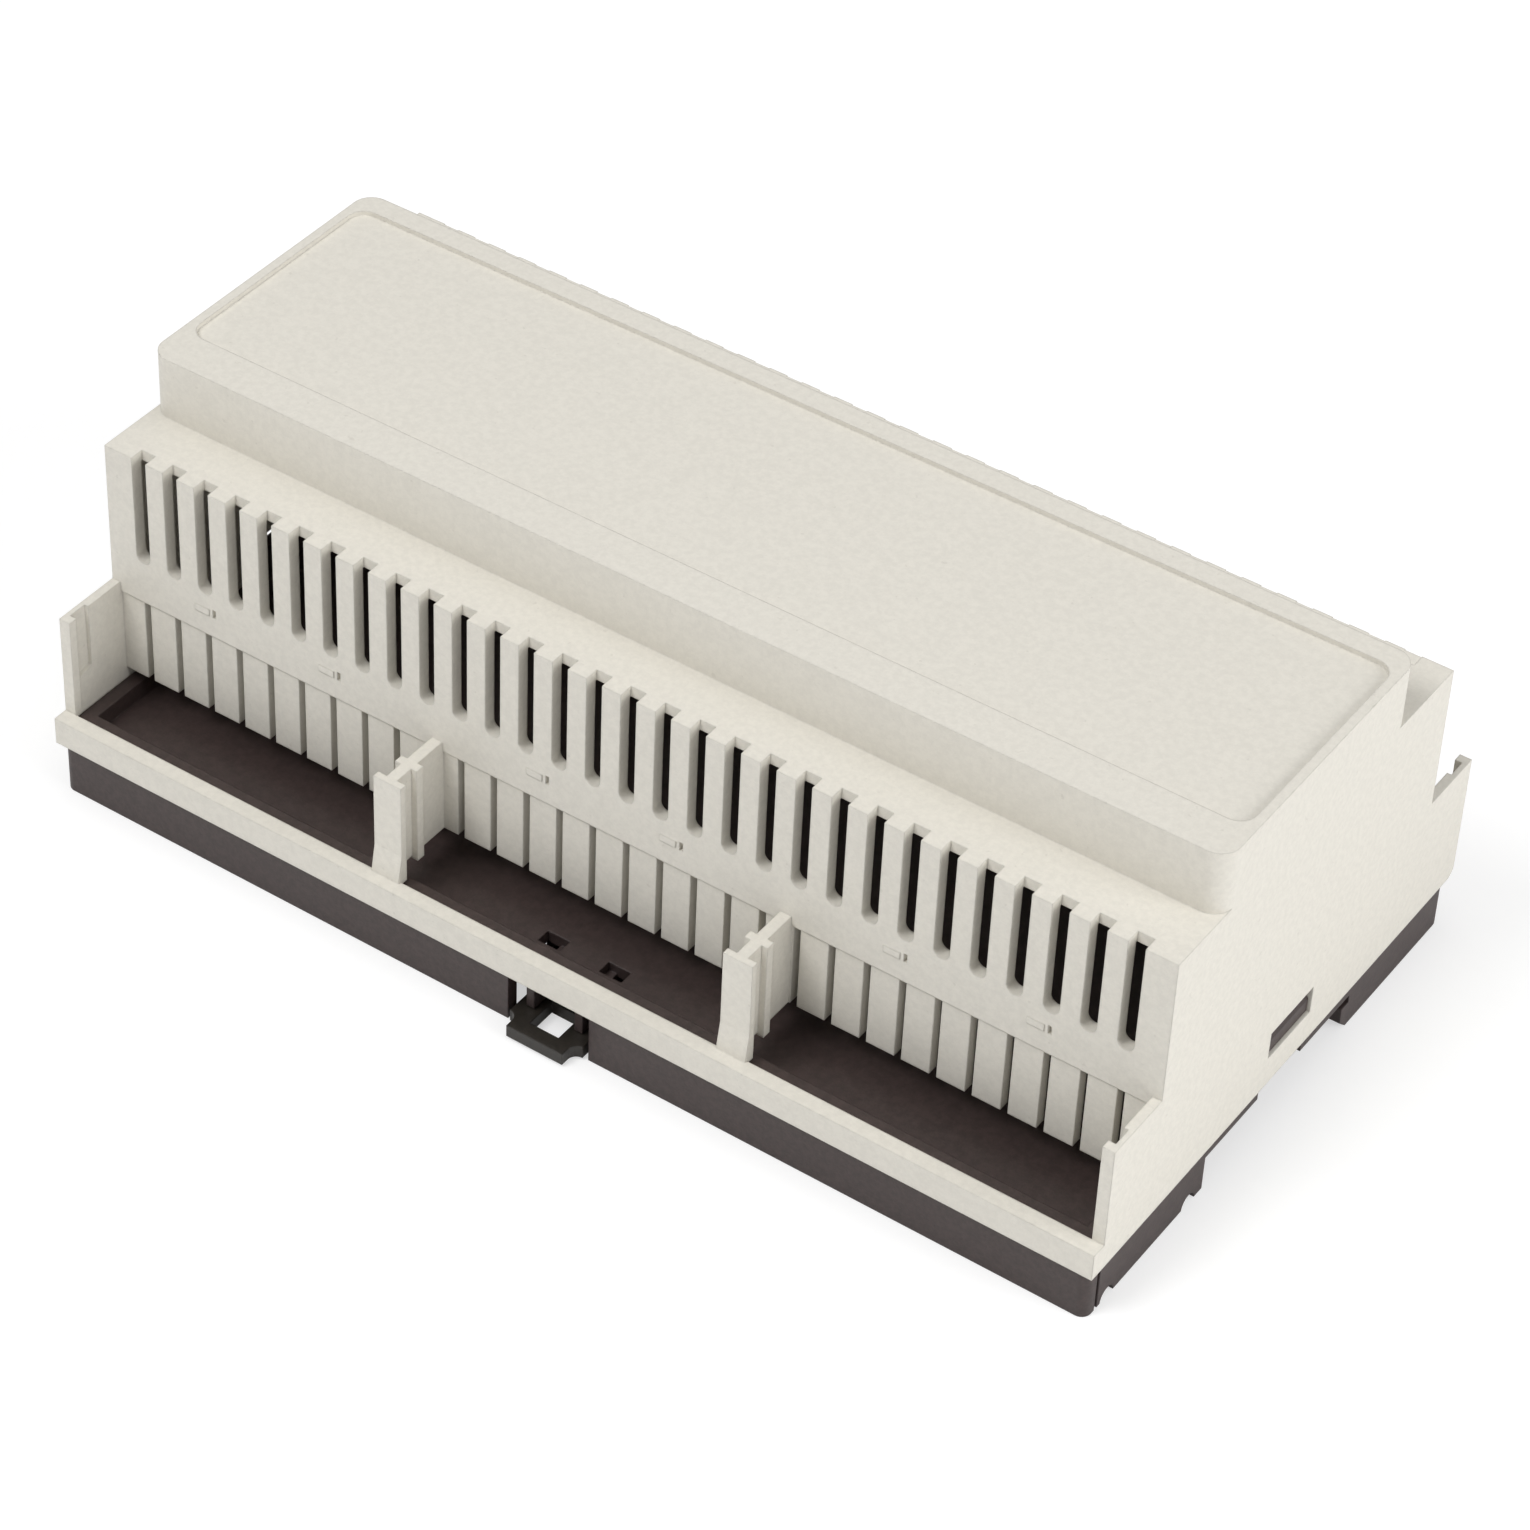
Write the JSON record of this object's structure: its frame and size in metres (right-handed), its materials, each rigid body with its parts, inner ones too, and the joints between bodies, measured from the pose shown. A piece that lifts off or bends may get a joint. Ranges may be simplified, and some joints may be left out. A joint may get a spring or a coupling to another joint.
{
  "type": "din rail enclosure",
  "caption": "Vented modular rail enclosure with a raised label face, stepped terminal compartments on both long sides and a sliding rail clip.",
  "frame": {"origin": "middle of the rail seat: mid length, mid width of the rail channel, on the plane the rail's flanges touch", "axes": "+X along the rail, +Y across the rail towards the fixed hooks and away from the clip, +Z out of the rail towards the label face"},
  "size_m": [0.1584, 0.0901, 0.058],
  "materials": {
    "base": "fine moulded satin, dark brown-grey",
    "cover": "fine moulded satin, warm light grey",
    "clip": "moulded satin, black"
  },
  "bodies": {
    "housing": {"base": "base", "cover": "cover"},
    "clip": {"rail_clip": "clip"}
  },
  "joints": [
    {"name": "clip_slide", "type": "slide", "parent": "housing", "child": "clip", "axis": [0, -1, 0], "range_m": [0, 0.0035], "stiffness_N_per_m": 3000, "springref_m": -0.001}
  ]
}
